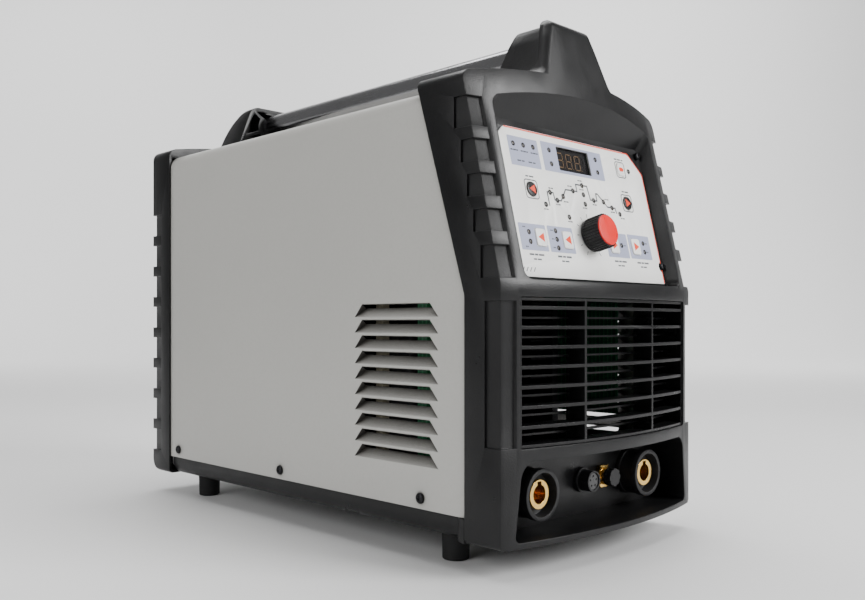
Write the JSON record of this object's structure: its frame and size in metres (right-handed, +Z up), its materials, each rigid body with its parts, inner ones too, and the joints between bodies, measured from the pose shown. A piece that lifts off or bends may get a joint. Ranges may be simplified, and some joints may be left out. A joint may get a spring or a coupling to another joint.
{
  "type": "inverter TIG welding power source",
  "caption": "Carry-handled inverter TIG welding machine: louvred steel case, bowed moulded front with sloping control panel, bayonet sockets, gas fittings and rear fan.",
  "frame": {"origin": "middle of the machine's footprint, at the underside of its feet", "axes": "+Z up, -Y towards the control panel, +X to the operator's right"},
  "size_m": [0.2406, 0.488, 0.402],
  "materials": {
    "light_grey_enamel": "satin light grey enamel",
    "charcoal_moulding": "fine textured charcoal",
    "white_panel": "printed satin white overlay",
    "smoked_window": "smoked",
    "display_module": "dark with pale bars",
    "lamp_lens": "frosted lens",
    "white_key": "satin white",
    "black_key": "satin black",
    "knob_plastic": "fluted black",
    "red_cap": "gloss red",
    "zinc_plate": "zinc plated",
    "black_plastic": "moulded black",
    "grey_insert": "grey insulator",
    "brass": "turned",
    "tube_metal": "gloss dark grey",
    "rocker_red": "gloss",
    "rubber": "matt black",
    "hose_rubber": "reinforced hose",
    "black_steel": "blackened",
    "zinc_steel": "bright zinc",
    "board_green": "green laminate",
    "capacitor_sleeve": "dark blue sleeve",
    "aluminium": "extruded",
    "module_plastic": "moulded black",
    "deck_plastic": "pressed insulating board",
    "core_steel": "ferrite and laminated steel",
    "copper": "tinned copper bar",
    "winding": "enamelled copper wire",
    "valve_body": "brass body with moulded coil"
  },
  "bodies": {
    "case": {"cover": "light_grey_enamel", "base_tray": "charcoal_moulding", "front_bezel": "charcoal_moulding", "front_grille": "charcoal_moulding", "control_plate": "white_panel", "display_window": "smoked_window", "display_digits": "display_module", "status_leds": "lamp_lens", "control_board": "board_green", "encoder": "zinc_steel", "connector_plate": "black_plastic", "socket_shells": "black_plastic", "socket_contacts": "brass", "control_socket": "black_plastic", "control_socket_face": "grey_insert", "gas_outlet": "brass", "gas_outlet_cap": "black_plastic", "carry_tube": "tube_metal", "rear_housing": "charcoal_moulding", "rear_panel": "zinc_plate", "fan_frame": "black_plastic", "fan_guard": "zinc_plate", "switch_frame": "black_plastic", "mains_gland": "black_plastic", "gland_seal": "rubber", "gas_inlet": "brass", "earth_stud": "zinc_steel", "feet": "rubber", "foot_screws": "zinc_steel", "cover_screws": "black_steel", "front_screws": "black_steel", "rear_screws": "zinc_steel", "deck": "deck_plastic", "main_board": "board_green", "capacitors": "capacitor_sleeve", "heat_sinks": "aluminium", "power_modules": "module_plastic", "driver_board": "board_green", "transformer_core": "core_steel", "transformer_winding": "winding", "output_choke": "core_steel", "hf_coil": "winding", "gas_valve": "valve_body", "gas_hose_inlet": "hose_rubber", "gas_hose_outlet": "hose_rubber", "busbars": "copper"},
    "gas_test_button": {"gas_test_key": "white_key"},
    "step_back_button": {"step_back_key": "black_key"},
    "step_forward_button": {"step_forward_key": "black_key"},
    "polarity_button": {"polarity_key": "white_key"},
    "process_button": {"process_key": "white_key"},
    "pulse_button": {"pulse_key": "white_key"},
    "trigger_button": {"trigger_key": "white_key"},
    "dial": {"knob": "knob_plastic", "knob_cap": "red_cap", "encoder_shaft": "zinc_steel"},
    "rotor": {"fan_rotor": "black_plastic"},
    "rocker": {"switch_rocker": "rocker_red"}
  },
  "joints": [
    {"name": "gas_test_press", "type": "slide", "parent": "case", "child": "gas_test_button", "axis": [0, 0.9724, -0.2334], "range_m": [0, 0.0006], "stiffness_N_per_m": 1500, "springref_m": -0.0004},
    {"name": "step_back_press", "type": "slide", "parent": "case", "child": "step_back_button", "axis": [0, 0.9724, -0.2334], "range_m": [0, 0.0006], "stiffness_N_per_m": 1500, "springref_m": -0.0004},
    {"name": "step_forward_press", "type": "slide", "parent": "case", "child": "step_forward_button", "axis": [0, 0.9724, -0.2334], "range_m": [0, 0.0006], "stiffness_N_per_m": 1500, "springref_m": -0.0004},
    {"name": "polarity_press", "type": "slide", "parent": "case", "child": "polarity_button", "axis": [0, 0.9724, -0.2334], "range_m": [0, 0.0006], "stiffness_N_per_m": 1500, "springref_m": -0.0004},
    {"name": "process_press", "type": "slide", "parent": "case", "child": "process_button", "axis": [0, 0.9724, -0.2334], "range_m": [0, 0.0006], "stiffness_N_per_m": 1500, "springref_m": -0.0004},
    {"name": "pulse_press", "type": "slide", "parent": "case", "child": "pulse_button", "axis": [0, 0.9724, -0.2334], "range_m": [0, 0.0006], "stiffness_N_per_m": 1500, "springref_m": -0.0004},
    {"name": "trigger_press", "type": "slide", "parent": "case", "child": "trigger_button", "axis": [0, 0.9724, -0.2334], "range_m": [0, 0.0006], "stiffness_N_per_m": 1500, "springref_m": -0.0004},
    {"name": "dial_turn", "type": "hinge", "parent": "case", "child": "dial", "pos_m": [0, -0.21398, 0.23617], "axis": [0, -0.9724, 0.2334], "continuous": true},
    {"name": "fan_spin", "type": "hinge", "parent": "case", "child": "rotor", "pos_m": [0, 0.19, 0.186], "axis": [0, 1, 0], "continuous": true},
    {"name": "mains_rock", "type": "hinge", "parent": "case", "child": "rocker", "pos_m": [0.066, 0.2064, 0.29], "axis": [1, 0, 0], "range_deg": [0, 22]}
  ]
}
